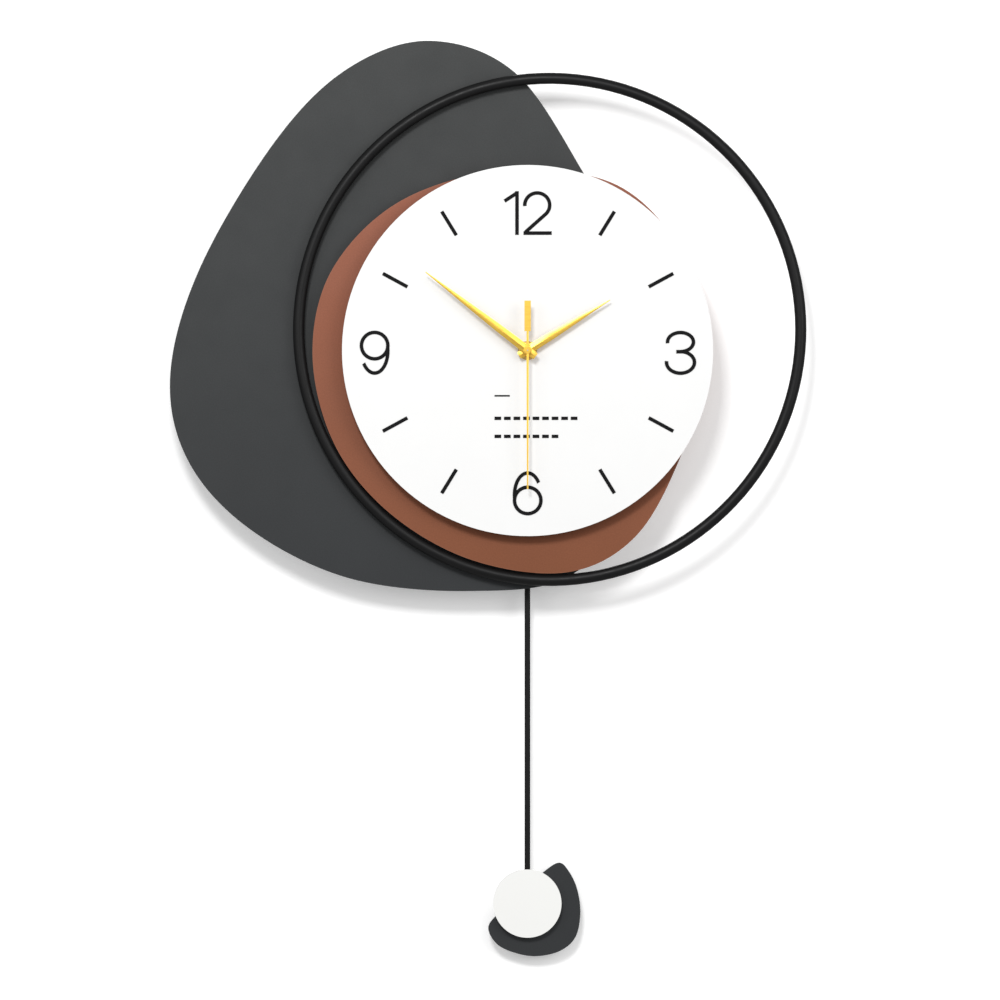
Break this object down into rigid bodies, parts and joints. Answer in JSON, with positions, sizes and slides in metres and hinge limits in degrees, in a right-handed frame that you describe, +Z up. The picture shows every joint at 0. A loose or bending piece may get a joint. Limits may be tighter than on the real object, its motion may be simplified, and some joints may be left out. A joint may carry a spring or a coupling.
{
  "type": "pendulum wall clock",
  "caption": "Wall clock with layered rounded boards, an offset round-bar ring, a white dial, geared hands and a swinging pendulum.",
  "frame": {"origin": "middle of the head hole of the keyhole hanger, on the wall plane", "axes": "+Z up, +Y into the wall, so the dial faces -Y; +X is to the right as seen from the front"},
  "size_m": [0.5023, 0.0682, 0.724],
  "materials": {
    "charcoal_board": "matt lacquer on fibreboard",
    "terracotta_board": "matt lacquer on fibreboard",
    "white_dial": "smooth satin white",
    "white_lacquer": "satin white lacquer",
    "black_print": "matt print",
    "black_metal": "semi-gloss black coating",
    "gold_metal": "gold anodised, brushed",
    "steel": "zinc plated",
    "brass": "turned brass",
    "black_plastic": "moulded, fine texture",
    "white_plastic": "moulded",
    "amber_plastic": "moulded",
    "rubber": "soft black rubber",
    "felt": "pressed felt",
    "copper": "enamelled copper wire",
    "circuit_green": "printed circuit board",
    "battery_sleeve": "plain printed sleeve, no lettering",
    "magnet": "sintered magnet",
    "block_wood": "bare pine"
  },
  "bodies": {
    "clock_body": {"back_panel": "charcoal_board", "accent_panel": "terracotta_board", "dial_plate": "white_dial", "dial_numerals": "black_print", "hour_marks": "black_print", "ring": "black_metal", "ring_screws": "steel", "accent_screws": "steel", "dial_screws": "steel", "hanger_screws": "steel", "wall_spacer_screws": "steel", "case_screws": "steel", "bridge_screws": "steel", "keyhole_plate": "steel", "quartz_crystal": "steel", "motor_stator": "steel", "positive_contact": "steel", "negative_contact": "steel", "pendulum_pin": "steel", "shaft_bush": "brass", "brass_washer": "brass", "bush_nut": "brass", "ring_spacers": "black_plastic", "accent_spacers": "black_plastic", "dial_spacers": "black_plastic", "wall_spacers": "black_plastic", "rear_case": "black_plastic", "front_case": "black_plastic", "train_bridge": "white_plastic", "coil_bobbin": "white_plastic", "rubber_washer": "rubber", "wall_pads": "felt", "motor_coil": "copper", "pendulum_coil": "copper", "circuit_board": "circuit_green", "battery": "battery_sleeve", "hanger_block": "block_wood"},
    "second": {"seconds_arbor": "steel", "seconds_wheel": "amber_plastic", "second_hand": "gold_metal"},
    "rotor": {"rotor_arbor": "steel", "rotor_magnet": "magnet", "rotor_pinion": "white_plastic"},
    "intermediate": {"intermediate_arbor": "steel", "intermediate_wheel": "white_plastic"},
    "third": {"third_arbor": "steel", "third_wheel": "amber_plastic"},
    "minute": {"minute_tube": "brass", "centre_wheel": "amber_plastic", "minute_hand": "gold_metal"},
    "setting": {"setting_stem": "white_plastic", "minute_wheel": "amber_plastic"},
    "hour": {"hour_tube": "brass", "hour_wheel": "white_plastic", "hour_hand": "gold_metal"},
    "pendulum": {"pendulum_hanger": "white_plastic", "pendulum_magnet": "magnet", "pendulum_rod": "black_metal", "bob_disc": "white_lacquer", "bob_backing": "charcoal_board"}
  },
  "joints": [
    {"name": "second_turn", "type": "hinge", "parent": "clock_body", "child": "second", "pos_m": [0.024, -0.0664, -0.15], "axis": [0, 1, 0], "continuous": true},
    {"name": "rotor_turn", "type": "hinge", "parent": "clock_body", "child": "rotor", "pos_m": [0.02851, -0.0095, -0.13605], "axis": [0, 1, 0], "continuous": true},
    {"name": "intermediate_turn", "type": "hinge", "parent": "clock_body", "child": "intermediate", "pos_m": [0.02976, -0.0122, -0.14314], "axis": [0, 1, 0], "continuous": true},
    {"name": "third_turn", "type": "hinge", "parent": "clock_body", "child": "third", "pos_m": [0.01481, -0.0153, -0.15919], "axis": [0, 1, 0], "continuous": true},
    {"name": "minute_turn", "type": "hinge", "parent": "clock_body", "child": "minute", "pos_m": [0.024, -0.0634, -0.15], "axis": [0, 1, 0], "continuous": true},
    {"name": "setting_turn", "type": "hinge", "parent": "clock_body", "child": "setting", "pos_m": [0.03362, -0.0018, -0.15962], "axis": [0, 1, 0], "continuous": true},
    {"name": "hour_turn", "type": "hinge", "parent": "clock_body", "child": "hour", "pos_m": [0.024, -0.0606, -0.15], "axis": [0, 1, 0], "continuous": true},
    {"name": "pendulum_swing", "type": "hinge", "parent": "clock_body", "child": "pendulum", "pos_m": [0.024, -0.013, -0.206], "axis": [0, 1, 0], "range_deg": [-8, 8]}
  ],
  "couplings": [
    {"joint": "rotor_turn", "follows": "second_turn", "ratio": 30},
    {"joint": "intermediate_turn", "follows": "second_turn", "ratio": -6},
    {"joint": "third_turn", "follows": "second_turn", "ratio": -0.13333},
    {"joint": "minute_turn", "follows": "second_turn", "ratio": 0.016667},
    {"joint": "setting_turn", "follows": "second_turn", "ratio": -0.0055556},
    {"joint": "hour_turn", "follows": "second_turn", "ratio": 0.0013889}
  ]
}
